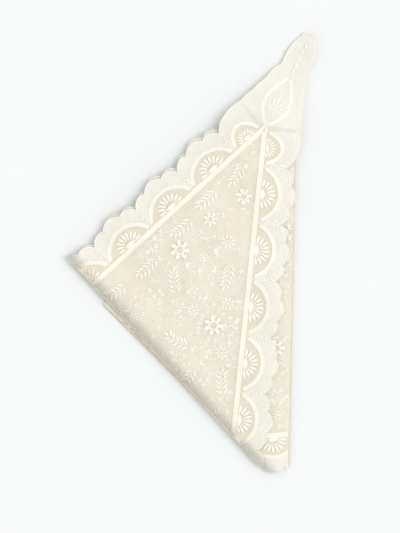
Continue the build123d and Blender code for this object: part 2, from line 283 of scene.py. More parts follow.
def spindles(starts, ends, width, height, belly=0.5, bend=0.0):
    # a line from start to end, bent sideways by a parabola, with an elliptic section whose size is
    # the sine of pi times a power of the share along it: 0 at both ends and full at belly
    starts, ends = np.atleast_1d(starts).astype(complex), np.atleast_1d(ends).astype(complex)
    t = np.array([0.05, 0.2, 0.4, 0.6, 0.8, 0.95])[:, None]
    size = np.sin(np.pi * t ** (math.log(0.5) / math.log(belly)))
    turn = np.arange(6) * np.pi / 3
    way = (ends - starts)[:, None, None]
    line = starts[:, None, None] + way * t + 1j * way * (4 * bend * t * (1 - t))
    half = np.reshape(width, (-1, 1, 1)) / 2
    flat = line + 1j * unit(way) * half * size * np.cos(turn)
    lift = np.broadcast_to(height / 2 * size * np.sin(turn), flat.shape)
    u = np.broadcast_to(np.abs(way) * t, flat.shape)
    v = np.broadcast_to(half * size * turn / np.pi, flat.shape)
    count = len(flat)
    flat, lift, u, v = (part.reshape(count, -1) for part in (flat, lift, u, v))
    flat = np.column_stack((flat, starts, ends))
    lift, v = (np.column_stack((part, np.zeros((count, 2)))) for part in (lift, v))
    u = np.column_stack((u, np.zeros(count), np.abs(ends - starts)))
    rings = len(t)
    ring = np.arange(7) % 6
    first, last = rings * 6, rings * 6 + 1
    caps = [(first, ring[k + 1], ring[k]) for k in range(6)]
    caps += [(last, (rings - 1) * 6 + ring[k], (rings - 1) * 6 + ring[k + 1]) for k in range(6)]
    return flat, lift, u, v, [tubeFaces(rings, 6, False), np.array(caps)]


def rings(centres, radius, tube, height, around=14):
    # a circle carried round each centre, flattened to the height
    centres = np.atleast_1d(centres).astype(complex)
    turn, section = np.arange(around) * 2 * np.pi / around, -np.arange(6) * np.pi / 3
    one = np.exp(1j * turn)[:, None] * (radius + tube / 2 * np.cos(section))
    flat = centres[:, None] + one.reshape(1, -1)
    lift = np.broadcast_to(np.tile(height / 2 * np.sin(section), around), flat.shape)
    u = np.broadcast_to(np.repeat(turn * radius, 6), flat.shape)
    v = np.broadcast_to(np.tile(tube / 2 * np.cos(section), around), flat.shape)
    return flat, lift, u, v, [tubeFaces(around, 6, True)]


# cross-sections, as shares of the half width to the left and heights in metres, turning from left to up
cordSection = [(math.cos(turn * math.pi / 3), math.sin(turn * math.pi / 3)) for turn in range(6)]
bandSection = [(1, 0), (0.93, 0.8), (0.78, 1.0), (0.6, 0.8), (0.46, 0.35), (0, 0.25), (-0.46, 0.35),
               (-0.6, 0.8), (-0.78, 1.0), (-0.93, 0.8), (-1, 0), (-0.78, -1.0), (-0.46, -0.35),
               (0.46, -0.35), (0.78, -1.0)]


def ribbons(paths, width, height, section):
    # the section carried square to each path
    paths = np.atleast_2d(paths)
    section = np.array(section)
    side = 1j * unit(np.gradient(paths, axis=1))
    flat = paths[:, :, None] + side[:, :, None] * width / 2 * section[:, 0]
    lift = np.broadcast_to(height / 2 * section[:, 1], flat.shape)
    run = np.concatenate((np.zeros((len(paths), 1)), np.cumsum(np.abs(np.diff(paths, axis=1)), axis=1)), axis=1)
    u = np.broadcast_to(run[:, :, None], flat.shape)
    v = np.broadcast_to(width / 2 * section[:, 0], flat.shape)
    count, length, sides = flat.shape
    ends = np.array([np.arange(sides)[::-1], (length - 1) * sides + np.arange(sides)])
    faces = [tubeFaces(length, sides, False), ends]
    return (*(part.reshape(count, -1) for part in (flat, lift, u, v)), faces)


def keepNear(shape, lines):
    # drops the like shapes that lie wholly outside a line
    flat = shape[0]
    kept = np.ones(len(flat), bool)
    for line in lines:
        kept &= reach(flat, line).max(axis=1) > 0
    return (*(part[kept] for part in shape[:4]), shape[4])


def meshOf(name, shapes, lines, closed):
    # the shapes in one mesh, cut off at the lines, still flat; its attributes u and v are its UVs
    shapes = [shape for shape in (keepNear(shape, lines) for shape in shapes) if len(shape[0])]
    if not shapes:
        return None
    corners, sizes, base = [], [], 0
    for flat, _, _, _, faces in shapes:
        for kind in faces:
            every = kind[None] + base + flat.shape[1] * np.arange(len(flat))[:, None, None]
            corners.append(every.ravel())
            sizes.append(np.full(every.shape[0] * every.shape[1], every.shape[2]))
        base += flat.size
    flat, lift, u, v = (np.concatenate([shape[k].ravel() for shape in shapes]) for k in range(4))
    corners, sizes = np.concatenate(corners), np.concatenate(sizes)
    mesh = bpy.data.meshes.new(name)
    mesh.vertices.add(len(flat))
    mesh.vertices.foreach_set("co", np.column_stack((flat.real, flat.imag, lift)).ravel())
    mesh.loops.add(len(corners))
    mesh.loops.foreach_set("vertex_index", corners)
    mesh.polygons.add(len(sizes))
    mesh.polygons.foreach_set("loop_start", np.concatenate(([0], np.cumsum(sizes)[:-1])))
    mesh.update(calc_edges=True)
    for label, values in (("u", u), ("v", v)):
        mesh.attributes.new(label, "FLOAT", "POINT").data.foreach_set("value", values)
    crossed = [line for line in lines if reach(flat, line).min() < 0]
    if crossed:
        cutOff(mesh, crossed, closed)
    return mesh


def cutOff(mesh, lines, closed):
    # keeps what lies inside each line, and closes the cut ends of solid shapes
    work = bmesh.new()
    work.from_mesh(mesh)
    for point, inward in lines:
        cut = bmesh.ops.bisect_plane(work, geom=work.verts[:] + work.edges[:] + work.faces[:], dist=1e-7,
                                     plane_co=(point.real, point.imag, 0),
                                     plane_no=(inward.real, inward.imag, 0), clear_inner=True)
        if closed:
            rims = [e for e in cut["geom_cut"] if isinstance(e, bmesh.types.BMEdge) and e.is_boundary]
            bmesh.ops.holes_fill(work, edges=rims, sides=0)
    work.to_mesh(mesh)
    work.free()


made = {}
waiting = set(frame["nodes"])  # parts of the CAD model that no piece stands for yet


def addPiece(name, leaf, shapes, lines, material, closed=True, nodes=()):
    # a piece of one leaf: cut in the flat, then laid in the packet
    mesh = meshOf(name, shapes, lines, closed)
    if mesh is None or not len(mesh.polygons):
        return None
    count = len(mesh.vertices)
    place = np.empty(count * 3)
    mesh.vertices.foreach_get("co", place)
    place = place.reshape(-1, 3)
    uv = np.empty((count, 2))
    for column, label in enumerate("uv"):
        values = np.empty(count)
        mesh.attributes[label].data.foreach_get("value", values)
        uv[:, column] = values
        mesh.attributes.remove(mesh.attributes[label])
    corners = np.empty(len(mesh.loops), np.int32)
    mesh.loops.foreach_get("vertex_index", corners)
    mesh.uv_layers.new(name="UVMap").data.foreach_set("uv", uv[corners].ravel())
    flat = place[:, 0] + 1j * place[:, 1]
    point, way = folds["front_corner_fold"]
    fromFold = np.abs(((flat - point) * np.conj(way)).imag)
    mesh.attributes.new("fromFold", "FLOAT", "POINT").data.foreach_set("value", fromFold)
    place = np.column_stack(laid(leaf, flat, place[:, 2]))
    mesh.vertices.foreach_set("co", place.ravel())
    mesh.polygons.foreach_set("use_smooth", np.ones(len(mesh.polygons), bool))
    mesh.update()
    mesh.materials.append(material)
    obj = bpy.data.objects.new(name, mesh)
    bpy.context.collection.objects.link(obj)
    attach(obj, leaf)
    standsFor = [node for node in nodes if node in waiting]
    if standsFor:
        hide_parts(*standsFor)
        waiting.difference_update(standsFor)
    made[name] = obj
    return obj


# Materials
def linear(hexColour):
    # an sRGB hex colour as linear red, green, blue and full alpha
    values = [int(hexColour[k:k + 2], 16) / 255 for k in (0, 2, 4)]
    return [value / 12.92 if value <= 0.04045 else ((value + 0.055) / 1.055) ** 2.4 for value in values] + [1]


def newMaterial(name):
    material = bpy.data.materials.new(name)
    material.use_nodes = True
    return material, material.node_tree.nodes["Principled BSDF"]


def addNode(material, kind, inputs=None, **settings):
    node = material.node_tree.nodes.new("ShaderNode" + kind)
    for key, value in settings.items():
        setattr(node, key, value)
    for key, value in (inputs or {}).items():
        if isinstance(value, bpy.types.NodeSocket):
            material.node_tree.links.new(value, node.inputs[key])
        else:
            node.inputs[key].default_value = value
    return node.outputs[0]


def link(material, output, shader, socket):
    material.node_tree.links.new(output, shader.inputs[socket])


netting = {
    "cell": 1.6 * mm,           # across one hexagon
    "thread": "FDF6E8",
    "shade": "F5EBD8",
    "mottle": 22 * mm,
    "step": 5 * mm,             # between the mesh's places
}


def hexNet(material, coordinates, cell):
    # cosines along three ways 60 degrees apart add up to 3 in the middle of each hexagon and to -1.5
    # at its corners, so low values follow the threads of a net
    total = None
    for turn in (0, 60, 120):
        way = heading(turn) * 4 * math.pi / (math.sqrt(3) * cell)
        dot = addNode(material, "VectorMath", {0: coordinates, 1: (way.real, way.imag, 0)},
                      operation="DOT_PRODUCT").node.outputs["Value"]
        wave = addNode(material, "Math", {0: dot}, operation="COSINE")
        total = wave if total is None else addNode(material, "Math", {0: total, 1: wave}, operation="ADD")
    return total


# a tint by distance from the front fold, which stands in for the shade where the cloth rolls and bunches there
foldShading = {"reach": 17 * mm, "least": 0.63}


def clothColour(material, coordinates, light, shade, spot, foldShaded=True):
    # two soft noises, one as large as a hand's handling marks and one as fine as slubs
    broad = addNode(material, "TexNoise", {"Vector": coordinates, "Scale": 1 / spot, "Detail": 2.0})
    fine = addNode(material, "TexNoise", {"Vector": coordinates, "Scale": 1 / (1.4 * mm), "Detail": 1.0})
    both = addNode(material, "Math", {0: broad, 1: fine}, operation="ADD")
    share = addNode(material, "MapRange", {"Value": both, "From Min": 0.7, "From Max": 1.3})
    mix = addNode(material, "Mix", {"Factor": share}, data_type="RGBA")
    mix.node.inputs[6].default_value = linear(shade)
    mix.node.inputs[7].default_value = linear(light)
    if not foldShaded:
        return mix.node.outputs[2]
    # painted shade: the colour darkens smoothly towards the front fold, down to the least share at the fold
    # itself
    away = addNode(material, "Attribute", attribute_name="fromFold").node.outputs["Fac"]
    foldShade = addNode(material, "MapRange", {"Value": away, "From Max": foldShading["reach"],
                                          "To Min": foldShading["least"]}, interpolation_type="SMOOTHSTEP")
    return addNode(material, "VectorMath", {0: mix.node.outputs[2], "Scale": foldShade}, operation="SCALE")


def tulleMaterial(name, light, shade, holes, threads, foldShaded):
    # Nylon bobbin tulle, warp-knitted and left soft: a sheer haze, cream where it lies in layers
    material, shader = newMaterial(name)
    where = addNode(material, "TexCoord").node.outputs["UV"]
    object3d = addNode(material, "TexCoord").node.outputs["Object"]
    net = hexNet(material, where, netting["cell"])
    alpha = addNode(material, "MapRange", {"Value": net, "From Min": -1.2, "From Max": 0.6, "To Min": threads,
                                           "To Max": holes}, interpolation_type="SMOOTHSTEP")
    colour = clothColour(material, object3d, light, shade, netting["mottle"], foldShaded)
    link(material, colour, shader, "Base Color")
    link(material, alpha, shader, "Alpha")
    height = addNode(material, "Math", {0: net, 1: -1.0}, operation="MULTIPLY")
    link(material, addNode(material, "Bump", {"Height": height, "Distance": 0.04 * mm, "Strength": 0.3}),
         shader, "Normal")
    shader.inputs["Roughness"].default_value = 0.62
    shader.inputs["Sheen Weight"].default_value = 0.25
    shader.inputs["Sheen Roughness"].default_value = 0.4
    shader.inputs["Specular IOR Level"].default_value = 0.3
    return material


ground = {
    "cell": 1.7 * mm,
    "light": "FBF8EF",
    "shade": "F4EFE3",
    "sheer": "F8EEDA",
    "sheerHoles": 0.5,
    "denseHoles": 0.6,
}


def groundMaterial():
    # Leavers lace ground in cotton: sheer net inside the arches, and close clothwork out to the rim,
    # which reads nearly white. The arch is a circle round a centre in each repeat.
    material, shader = newMaterial("cottonLaceGround")
    where = addNode(material, "TexCoord").node.outputs["UV"]
    object3d = addNode(material, "TexCoord").node.outputs["Object"]
    parts = addNode(material, "SeparateXYZ", {0: where}).node.outputs
    repeat = edging["repeat"]
    halfWidth = repeat / 2 - edging["archGap"] / 2
    rise = edging["archHeight"] - edging["archFoot"]
    radius = (halfWidth ** 2 + rise ** 2) / (2 * rise)
    along = addNode(material, "Math", {0: parts[0], 1: repeat, 2: 0.0}, operation="WRAP")
    fromCrown = addNode(material, "Math", {0: along, 1: repeat / 2}, operation="SUBTRACT")
    fromCentre = addNode(material, "Math", {0: parts[1], 1: edging["archHeight"] - radius},
                         operation="SUBTRACT")
    offset = addNode(material, "CombineXYZ", {0: fromCrown, 1: fromCentre})
    distance = addNode(material, "VectorMath", {0: offset}, operation="LENGTH").node.outputs["Value"]
    dense = addNode(material, "MapRange", {"Value": distance, "From Min": radius - 2.5 * mm,
                                           "From Max": radius})
    net = hexNet(material, where, ground["cell"])
    hole = addNode(material, "MapRange", {"Value": dense, "To Min": ground["sheerHoles"],
                                          "To Max": ground["denseHoles"]})
    thread = addNode(material, "MapRange", {"Value": dense, "To Min": 0.9, "To Max": 0.98})
    alpha = addNode(material, "MapRange", {"Value": net, "From Min": -1.2, "From Max": 1.2, "To Min": thread,
                                           "To Max": hole}, interpolation_type="SMOOTHSTEP")
    # fine scale lines round each arch, 3.2 mm apart, as the worked ground has
    scales = addNode(material, "Math", {0: distance, 1: 2 * math.pi / (3.2 * mm)}, operation="MULTIPLY")
    scales = addNode(material, "Math", {0: scales}, operation="SINE")
    scales = addNode(material, "Math", {0: scales, 1: dense}, operation="MULTIPLY")
    colour = clothColour(material, object3d, ground["light"], ground["shade"], 14 * mm)
    colour = addNode(material, "Mix", {"Factor": dense, 7: colour}, data_type="RGBA")
    colour.node.inputs[6].default_value = linear(ground["sheer"])
    colour = colour.node.outputs[2]
    tint = addNode(material, "MapRange", {"Value": scales, "From Min": -1, "From Max": 1, "To Min": 0.97})
    colour = addNode(material, "VectorMath", {0: colour, "Scale": tint}, operation="SCALE")
    link(material, colour, shader, "Base Color")
    link(material, alpha, shader, "Alpha")
    height = addNode(material, "Math", {0: scales, 1: net}, operation="SUBTRACT")
    link(material, addNode(material, "Bump", {"Height": height, "Distance": 0.08 * mm, "Strength": 0.6}),
         shader, "Normal")
    shader.inputs["Roughness"].default_value = 0.7
    shader.inputs["Sheen Weight"].default_value = 0.2
    shader.inputs["Specular IOR Level"].default_value = 0.3
    return material


def threadMaterial(name, light, shade, spacing, depth, roughness, sheen):
    # threads laid side by side across the length of each shape; u runs along it
    material, shader = newMaterial(name)
    where = addNode(material, "TexCoord").node.outputs["UV"]
    object3d = addNode(material, "TexCoord").node.outputs["Object"]
    u = addNode(material, "SeparateXYZ", {0: where}).node.outputs[0]
    wave = addNode(material, "Math", {0: u, 1: 2 * math.pi / spacing}, operation="MULTIPLY")
    wave = addNode(material, "Math", {0: wave}, operation="SINE")
    colour = clothColour(material, object3d, light, shade, 18 * mm)
    tint = addNode(material, "MapRange", {"Value": wave, "From Min": -1, "From Max": 1, "To Min": 1 - depth})
    link(material, addNode(material, "VectorMath", {0: colour, "Scale": tint}, operation="SCALE"),
         shader, "Base Color")
    link(material, addNode(material, "Bump", {"Height": wave, "Distance": 0.12 * mm, "Strength": 0.7}),
         shader, "Normal")
    shader.inputs["Roughness"].default_value = roughness
    shader.inputs["Sheen Weight"].default_value = sheen
    shader.inputs["Sheen Roughness"].default_value = 0.35
    return material


tulle = tulleMaterial("nylonTulleKnitted", netting["thread"], netting["shade"], 0.4, 0.93, True)
# the turned edge along each fold has darker colours than the laid tulle: painted shade of the rolled cloth
shadedTurnTulle = tulleMaterial("nylonTulleShadedTurn", "E9E0CE", "D6CBB6", 0.6, 0.92, False)
lace = groundMaterial()
# mercerised cotton, satin stitched by machine: smooth, with a low silky gloss
satin = threadMaterial("cottonThreadSatinStitched", "FFFBF2", "FAF4E7", 0.9 * mm, 0.04, 0.42, 0.3)
# woven cotton heading tape: matt, with a rung every 1.6 mm
tape = threadMaterial("cottonTapeWoven", "FCF7EA", "F6EEDD", 1.6 * mm, 0.08, 0.65, 0.15)
# corded cotton thread whipped round a core
gimp = threadMaterial("cottonCordWhipped", "FDF9EF", "F5EEE0", 1.2 * mm, 0.06, 0.5, 0.2)
# needle-run ladder: rungs every 2.6 mm, so the arches read as open work and not as solid bands
ladder = threadMaterial("cottonLadderWorked", "FDF9EF", "F5EEE0", 2.6 * mm, 0.15, 0.6, 0.15)
print("materials made")

# What is worked on the edging
work = {
    "tapeWidth": 7 * mm,
    "tapeHeight": 0.9 * mm,
    "bandHeight": 0.9 * mm,
    "setback": 1.2 * mm,        # what stands on the cloth stops this far short of a fold
    "rimCord": 1.7 * mm,
    "rimHeight": 1.1 * mm,
    "innerCord": 1.0 * mm,
    "innerHeight": 0.8 * mm,
    "innerCordInset": 5.0 * mm,
    "fanCore": 8 * mm,
    "fanRadius": 19.5 * mm,
    "fanPetals": 9,
    "petalWidth": 4.7 * mm,
    "petalHeight": 0.9 * mm,
    "eyeletRadius": 3.35 * mm,
    "eyeletThread": 2.2 * mm,
    "eyeletHeight": 0.9 * mm,
    "eyeletDepths": (16.5 * mm, 26.6 * mm),
}


def valleysOf(edge):
    return edging["firstValley"] + edge["pitch"] * np.arange(edge["count"])


smallArch = {"middle": 26.5 * mm, "share": 0.6, "rise": 0.88}  # between the first valley and a corner


def archPaths(edge):
    # circular arcs from valley to valley, and a smaller one between the first valley and the corner
    half = edge["pitch"] / 2 - edging["archGap"] / 2 - edging["archBand"] / 2
    rise = edging["archHeight"] - edging["archFoot"] - edging["archBand"] / 2
    radius = (half ** 2 + rise ** 2) / (2 * rise)
    sweep = math.atan2(half, radius - rise) if radius > rise else math.pi - math.atan2(half, rise - radius)
    turn = np.linspace(-sweep, sweep, 33)
    middles = valleysOf(edge) + edge["pitch"] / 2
    centreDepth = edging["archFoot"] + rise - radius
    paths = at(edge, middles[:, None] + radius * np.sin(turn), centreDepth + radius * np.cos(turn))
    ends = [edge["start"]] if edge["end"] == back else [edge["start"], edge["end"]]
    for corner in ends:
        middle = smallArch["middle"] if corner == edge["start"] else edge["length"] - smallArch["middle"]
        height = centreDepth + radius * np.cos(turn) - edging["archFoot"]
        small = at(edge, middle + smallArch["share"] * radius * np.sin(turn),
                   edging["archFoot"] + smallArch["rise"] * height)
        paths = np.vstack((paths, small))
    return paths


def fanShapes(edge):
    # a flat dome at the tape and petals spread over a half circle
    middles = valleysOf(edge) + edge["pitch"] / 2
    scale = np.ones(len(middles))
    middles, scale = np.append(middles, smallArch["middle"]), np.append(scale, 0.72)
    if edge["end"] != back:
        middles, scale = np.append(middles, edge["length"] - smallArch["middle"]), np.append(scale, 0.72)
    foot = at(edge, middles, work["tapeWidth"] / 2)
    turn = np.pi * (np.arange(work["fanPetals"]) + 0.5) / work["fanPetals"]
    ray = edge["way"] * np.cos(turn) + edge["out"] * np.sin(turn)
    inner = foot[:, None] + (scale * work["fanCore"] * 0.75)[:, None] * ray
    outer = foot[:, None] + (scale * work["fanRadius"])[:, None] * ray
    petalWidth = np.repeat(scale * work["petalWidth"], work["fanPetals"])
    petals = spindles(inner.ravel(), outer.ravel(), petalWidth, work["petalHeight"], belly=0.66)
    side = (scale * work["fanCore"])[:, None] * edge["way"]
    lifted = foot[:, None] + edge["out"] * 2.2 * mm
    core = spindles((lifted - side).ravel(), (lifted + side).ravel(), scale * 9 * mm, 0.9 * mm)
    return [petals, core]


embroidery = {
    "ringRadius": 10 * mm,
    "ringPetals": 7,
    "ringPetalWidth": 6.4 * mm,
    "eyeRadius": 4.6 * mm,      # the open ring in the middle of a ring flower
    "eyeThread": 2.4 * mm,
    "ringPlaces": [(0.221, 0.22), (0.406, 0.618), (0.302, 0.517), (0.629, 0.171), (0.72, 0.643), (0.84, 0.84),
                   (0.893, 0.338), (0.955, 0.564)],
    "ringSizes": [1.0, 1.22, 0.9, 1.22, 1.05, 1.0, 1.1, 0.95],
    "daisyRadius": 8.5 * mm,
    "daisyPetals": 8,
    "daisyPetalWidth": 3.0 * mm,
    "daisyPlaces": [(0.365, 0.236), (0.422, 0.395), (0.59, 0.31), (0.71, 0.099), (0.631, 0.615), (0.792, 0.697),
                    (0.828, 0.488), (0.926, 0.471), (0.931, 0.717), (0.893, 0.078), (0.557, 0.116)],
    "leafLength": 9.5 * mm,
    "leafWidth": 3.3 * mm,
    "leafSpacing": 10.5 * mm,
    "leafSplay": 46,
    # the middle of a spray's stem, the way it points in degrees, and the radius of its bend in mm
    "sprays": [((0.149, 0.507), 24, 60), ((0.24, 0.718), 42, 70), ((0.336, 0.738), 45, 60),
               ((0.47, 0.756), 40, 70), ((0.509, 0.508), 165, 60), ((0.47, 0.16), 8, 80),
               ((0.557, 0.822), 55, 70), ((0.691, 0.327), 112, 60), ((0.802, 0.222), 25, 70),
               ((0.73, 0.458), 70, 80), ((0.806, 0.073), 172, 70), ((0.696, 0.844), 42, 70),
               ((0.869, 0.905), 50, 80), ((0.883, 0.677), 96, 70), ((0.946, 0.188), 84, 80)],
    "sprigs": 260,              # small filling sprigs on each half of the veil
    "sprigSeed": 11,
    "sprigLeaf": 5.5 * mm,
    "height": 0.9 * mm,
}


def onNet(places):
    # places as shares of the way to the middle and up to the side edge, with their mirror places
    shares = np.array(places)
    spots = shares[:, 0] * back.real + 1j * shares[:, 0] * shares[:, 1] * back.imag
    return np.concatenate((spots, far.real - np.conj(spots)))


def petalRing(centres, sizes, count, inner, outer, width, belly):
    ray = sizes[:, None] * np.exp(1j * (2 * np.pi * np.arange(count) / count + sizes[:, None] * 9))
    starts = centres[:, None] + inner * ray
    ends = centres[:, None] + outer * ray
    return spindles(starts.ravel(), ends.ravel(), np.repeat(sizes * width, count), embroidery["height"], belly)


def ringFlowers():
    centres = onNet(embroidery["ringPlaces"])
    sizes = np.tile(embroidery["ringSizes"], 2)
    radius = embroidery["ringRadius"]
    petals = petalRing(centres, sizes, embroidery["ringPetals"], 0.42 * radius, 1.05 * radius,
                       embroidery["ringPetalWidth"], 0.6)
    inner = [rings(centre, embroidery["eyeRadius"] * size, embroidery["eyeThread"] * size, 1.2 * mm)
             for centre, size in zip(centres, sizes)]
    return [petals, *inner]


def daisies():
    centres = onNet(embroidery["daisyPlaces"])
    radius = embroidery["daisyRadius"]
    sizes = np.tile(1 + 0.18 * np.cos(2.4 * np.arange(len(centres) // 2)), 2)
    petals = petalRing(centres, sizes, embroidery["daisyPetals"], 0.2 * radius, radius,
                       embroidery["daisyPetalWidth"], 0.62)
    heart = spindles(centres - 2 * mm, centres + 2 * mm, 4 * mm, 1.2 * mm)
    return [petals, heart]


def sprays():
    # a bent stem with pairs of leaves and a leaf at its tip, each drawn once more mirrored
    starts, ends, widths, stems = [], [], [], []
    halfStem = embroidery["leafSpacing"] + embroidery["leafLength"] / 3
    for place, turn, bend in embroidery["sprays"]:
        middle = complex(place[0] * back.real, place[0] * place[1] * back.imag)
        spread = halfStem / (bend * mm)

        def beside(share, offset):
            radius = bend * mm
            return middle + heading(turn) * 1j * (radius - (radius - offset) * np.exp(1j * spread * share))

        stems.append((beside(-1, 0), beside(1, 0), -halfStem / (4 * bend * mm)))
        for share in (-0.95, -0.5, -0.05, 0.4, 0.8):
            for side in (1, -1):
                foot = beside(share, side * 1.2 * mm)
                angle = turn + math.degrees(spread * share) + side * embroidery["leafSplay"]
                starts.append(foot)
                ends.append(foot + heading(angle) * embroidery["leafLength"] * (1 - 0.12 * share))
                widths.append(embroidery["leafWidth"])
        starts.append(beside(1, 0))
        ends.append(beside(1, 0) + heading(turn + math.degrees(spread)) * embroidery["leafLength"])
        widths.append(embroidery["leafWidth"])
    draws = np.random.default_rng(embroidery["sprigSeed"])
    spots = draws.uniform(size=(4 * embroidery["sprigs"], 2))
    turns = draws.uniform(0, 2 * np.pi, 4 * embroidery["sprigs"])
    spots = spots[:, 0] * back.real + 1j * spots[:, 1] * back.imag
    flowers = onNet(embroidery["ringPlaces"] + embroidery["daisyPlaces"])
    clear = (np.abs(spots[:, None] - flowers).min(axis=1) > 13 * mm) & (spots.imag > 8 * mm)
    clear &= reach(spots, (0j, -1j * sideWay)) > 8 * mm
    clear &= np.abs(spots[:, None] - np.array(starts + ends)).min(axis=1) > 6 * mm
    spots, turns = spots[clear][:embroidery["sprigs"]], turns[clear][:embroidery["sprigs"]]
    stemLines = np.array(stems)
    shapes = []
    for mirror in (False, True):
        def side(flat):
            return far.real - np.conj(flat) if mirror else flat

        shapes.append(spindles(side(np.array(starts)), side(np.array(ends)), embroidery["leafWidth"],
                               embroidery["height"], 0.42))
        for start, end, bend in stemLines:
            bent = -bend.real if mirror else bend.real
            shapes.append(spindles(side(start), side(end), 1.5 * mm, 0.8 * mm, bend=bent))
        for angle, length in ((0, 1.0), (0.9, 0.75), (-0.9, 0.75)):
            tips = spots + length * embroidery["sprigLeaf"] * np.exp(1j * (turns + angle))
            shapes.append(spindles(side(spots), side(tips), 2.3 * mm, 0.7 * mm, 0.6))
        tails = spots - 2.2 * embroidery["sprigLeaf"] * np.exp(1j * turns)
        shapes.append(spindles(side(spots), side(tails), 1.3 * mm, 0.6 * mm, bend=-0.3 if mirror else 0.3))
    return shapes


cornerWork = {
    "almondFrom": 4 * mm,       # from the net's corner, outwards
    "almondLength": 68 * mm,
    "almondHalf": 15.5 * mm,
    "bandWidth": 4.6 * mm,
    "palmFoot": 20 * mm,
    "palmTurns": [-62, -40, -20, 0, 20, 40, 62],  # degrees
    "palmLengths": np.array([11, 17, 23, 27, 23, 17, 11]) * mm,
    "palmWidth": 3.2 * mm,
    "tailFrom": 78 * mm,
    "tailPitch": 9 * mm,
    "tailLeaf": 8 * mm,
    "tailWidth": 4.2 * mm,
}


def cornerWays():
    # the two mitred corners, each with its way outwards
    pairs = ((front, far), (far, front))
    return [(place, -unit(unit(other - place) + unit(back - place))) for place, other in pairs]


def cornerMotif():
    # on each mitred corner the two tapes part into an almond round a palm of petals; the almond's
    # half width is the sine of pi times the share along it
    shapes = []
    share = np.linspace(0.0, 1.0, 41)
    half = cornerWork["almondHalf"] * np.sin(np.pi * share ** 0.85) + 1.2 * mm
    for place, axis in cornerWays():
        for side in (1, -1):
            run = cornerWork["almondFrom"] + cornerWork["almondLength"] * share
            path = place + axis * (run + 1j * side * half)
            shapes.append(ribbons(path, cornerWork["bandWidth"], work["bandHeight"], bandSection))
    return shapes


def cornerPalm():
    # seven petals in the almond, and five leaves in a row beyond it
    shapes = []
    ray = np.exp(1j * np.radians(cornerWork["palmTurns"]))
    for place, axis in cornerWays():
        foot = place + axis * cornerWork["palmFoot"]
        shapes.append(spindles(foot + axis * 2 * mm * ray, foot + axis * cornerWork["palmLengths"] * ray,
                               cornerWork["palmWidth"], work["petalHeight"], 0.66))
        tail = place + axis * (cornerWork["tailFrom"] + cornerWork["tailPitch"] * np.arange(5))
        shapes.append(spindles(tail, tail + axis * cornerWork["tailLeaf"], cornerWork["tailWidth"],
                               work["petalHeight"], 0.5))
    return shapes


flowers = {"ring_flowers": ringFlowers(), "daisies": daisies(), "leaf_sprays": sprays()}
cornerBands, cornerPetals = cornerMotif(), cornerPalm()


def declareSheet(flat, lines):
    inside = np.ones(flat.shape, bool)
    for line in lines:
        inside &= reach(flat, line) >= -2.5 * mm


